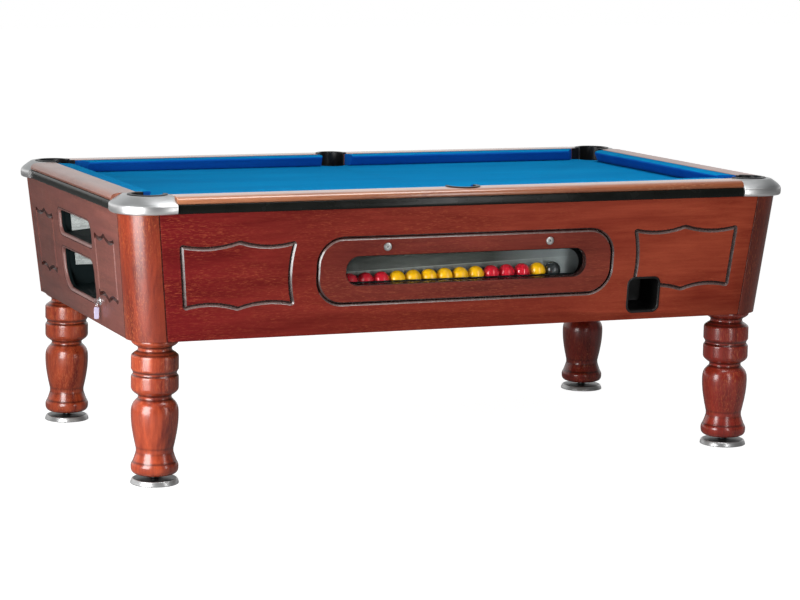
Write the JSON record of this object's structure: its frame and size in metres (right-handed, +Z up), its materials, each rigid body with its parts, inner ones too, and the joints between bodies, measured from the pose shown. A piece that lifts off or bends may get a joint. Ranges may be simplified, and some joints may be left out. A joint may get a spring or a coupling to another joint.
{
  "type": "pool table",
  "caption": "Coin-operated pool table: blue cloth bed, tapered mahogany cabinet, turned legs, cast corners, ball window in front and coin slide at the end.",
  "frame": {"origin": "middle of the footprint, on the floor", "axes": "X along the table to the right as seen from the window side, Y towards the back, Z up"},
  "size_m": [2.1568, 1.2668, 0.8495],
  "materials": {
    "mahogany": "satin lacquer over a red-brown veneer",
    "turned_mahogany": "gloss lacquer, orange-red",
    "slate": "sawn",
    "blue_cloth": "napped wool cloth, stretched",
    "black_plastic": "moulded",
    "cast_aluminium": "cast, polished lower edge",
    "chrome": "bright plated",
    "galvanised_steel": "galvanised sheet",
    "glass": "clear",
    "ball_resin": "polished resin, red and yellow",
    "raw_timber": "unfinished",
    "tag_plastic": "moulded"
  },
  "bodies": {
    "table": {"back_left_casting": "cast_aluminium", "back_left_cushion": "blue_cloth", "back_left_leg": "turned_mahogany", "back_left_pocket_liner": "black_plastic", "back_left_post": "turned_mahogany", "back_middle_pocket_liner": "black_plastic", "back_panel": "mahogany", "back_rail": "turned_mahogany", "back_right_casting": "cast_aluminium", "back_right_cushion": "blue_cloth", "back_right_leg": "turned_mahogany", "back_right_pocket_liner": "black_plastic", "back_right_post": "turned_mahogany", "back_trim_band": "black_plastic", "ball_runway": "galvanised_steel", "ball_tray": "galvanised_steel", "base_board": "raw_timber", "bed_cloth": "blue_cloth", "coin_mechanism": "chrome", "cue_ball_cup": "black_plastic", "end_compartments": "galvanised_steel", "end_lock": "chrome", "front_left_casting": "cast_aluminium", "front_left_cushion": "blue_cloth", "front_left_leg": "turned_mahogany", "front_left_pocket_liner": "black_plastic", "front_left_post": "turned_mahogany", "front_middle_pocket_liner": "black_plastic", "front_panel": "mahogany", "front_rail": "turned_mahogany", "front_right_casting": "cast_aluminium", "front_right_cushion": "blue_cloth", "front_right_leg": "turned_mahogany", "front_right_pocket_liner": "black_plastic", "front_right_post": "turned_mahogany", "front_trim_band": "black_plastic", "left_bed_bearer": "raw_timber", "left_end_cushion": "blue_cloth", "left_end_panel": "mahogany", "left_end_rail": "turned_mahogany", "left_end_trim_band": "black_plastic", "object_balls": "ball_resin", "right_bed_bearer": "raw_timber", "right_end_cushion": "blue_cloth", "right_end_panel": "mahogany", "right_end_rail": "turned_mahogany", "right_end_trim_band": "black_plastic", "slate_bed": "slate"},
    "window": {"window_door": "mahogany", "window_glass": "glass"},
    "left_lock": {"left_window_lock": "chrome"},
    "right_lock": {"right_window_lock": "chrome"},
    "key": {"lock_key": "chrome"},
    "tag": {"key_tag": "tag_plastic"},
    "coin_slide": {"coin_slide": "chrome"},
    "gate": {"ball_gate": "galvanised_steel"},
    "front_left_foot": {"front_left_levelling_foot": "chrome"},
    "front_right_foot": {"front_right_levelling_foot": "chrome"},
    "back_right_foot": {"back_right_levelling_foot": "chrome"},
    "back_left_foot": {"back_left_levelling_foot": "chrome"}
  },
  "joints": [
    {"name": "window_hinge", "type": "hinge", "parent": "table", "child": "window", "pos_m": [0, -0.5865, 0.51548], "axis": [1, 0, 0], "range_deg": [0, 90]},
    {"name": "left_lock_turn", "type": "hinge", "parent": "window", "child": "left_lock", "pos_m": [-0.262, -0.60301, 0.6815], "axis": [0, -0.9951, -0.099], "range_deg": [0, 90]},
    {"name": "right_lock_turn", "type": "hinge", "parent": "window", "child": "right_lock", "pos_m": [0.262, -0.60301, 0.6815], "axis": [0, 0.9951, 0.099], "range_deg": [0, 90]},
    {"name": "key_turn", "type": "hinge", "parent": "table", "child": "key", "pos_m": [-1.02996, -0.243, 0.5], "axis": [-0.9951, 0, -0.099], "range_deg": [0, 90]},
    {"name": "tag_swing", "type": "hinge", "parent": "key", "child": "tag", "pos_m": [-1.04205, -0.243, 0.49528], "axis": [0, 1, 0], "range_deg": [-5, 70]},
    {"name": "coin_push", "type": "slide", "parent": "table", "child": "coin_slide", "axis": [0.9951, 0, 0.099], "range_m": [0, 0.035]},
    {"name": "gate_lift", "type": "hinge", "parent": "table", "child": "gate", "pos_m": [-0.434, -0.535, 0.61071], "axis": [0, 1, 0], "range_deg": [0, 60]},
    {"name": "front_left_foot_screw", "type": "slide", "parent": "table", "child": "front_left_foot", "axis": [0, 0, -1], "range_m": [0, 0.02]},
    {"name": "front_right_foot_screw", "type": "slide", "parent": "table", "child": "front_right_foot", "axis": [0, 0, -1], "range_m": [0, 0.02]},
    {"name": "back_right_foot_screw", "type": "slide", "parent": "table", "child": "back_right_foot", "axis": [0, 0, -1], "range_m": [0, 0.02]},
    {"name": "back_left_foot_screw", "type": "slide", "parent": "table", "child": "back_left_foot", "axis": [0, 0, -1], "range_m": [0, 0.02]}
  ],
  "couplings": [
    {"joint": "gate_lift", "follows": "coin_push", "rad_per_m": 29.919}
  ]
}
